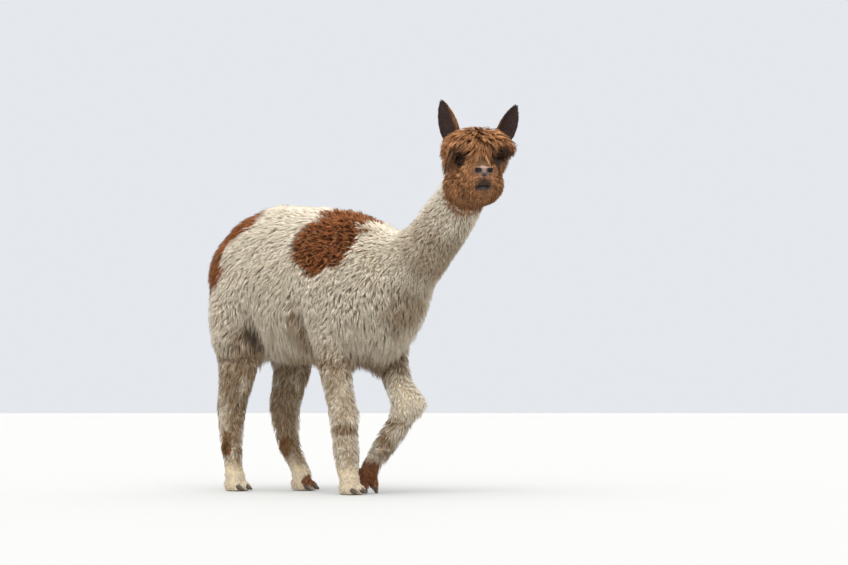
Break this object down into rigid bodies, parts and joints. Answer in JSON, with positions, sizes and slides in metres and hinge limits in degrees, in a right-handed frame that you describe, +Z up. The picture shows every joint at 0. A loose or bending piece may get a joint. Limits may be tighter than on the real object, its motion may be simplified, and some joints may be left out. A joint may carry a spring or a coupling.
{
  "type": "alpaca model",
  "caption": "Life-size still model of a piebald alpaca in mid-step, its head turned aside and one foreleg flexed, for display on a floor",
  "frame": {"origin": "on the floor, under the middle of the bounding box", "axes": "+Z up; -Y the way the animal walks, so its length runs along Y; +X towards its left side"},
  "size_m": [0.4284, 1.4191, 1.2196],
  "materials": {
    "fleece": "matte cream fleece with brown patches",
    "head_wool": "matte red-brown wool",
    "ear_hair": "short dark hair",
    "eye": "glossy and near black",
    "foot_hair": "short dark brown hair",
    "nail": "satin grey horn"
  },
  "bodies": {
    "root": {"trunk": "fleece", "neck": "fleece", "tail": "fleece", "foreleg_left": "fleece", "foreleg_right": "fleece", "hindleg_left": "fleece", "hindleg_right": "fleece", "head": "head_wool", "ear_left": "ear_hair", "ear_right": "ear_hair", "eye_left": "eye", "eye_right": "eye", "forefoot_left": "foot_hair", "forefoot_right": "foot_hair", "hindfoot_left": "foot_hair", "hindfoot_right": "foot_hair", "forefoot_left_nail_left": "nail", "forefoot_left_nail_right": "nail", "forefoot_right_nail_left": "nail", "forefoot_right_nail_right": "nail", "hindfoot_left_nail_left": "nail", "hindfoot_left_nail_right": "nail", "hindfoot_right_nail_left": "nail", "hindfoot_right_nail_right": "nail"}
  },
  "joints": []
}
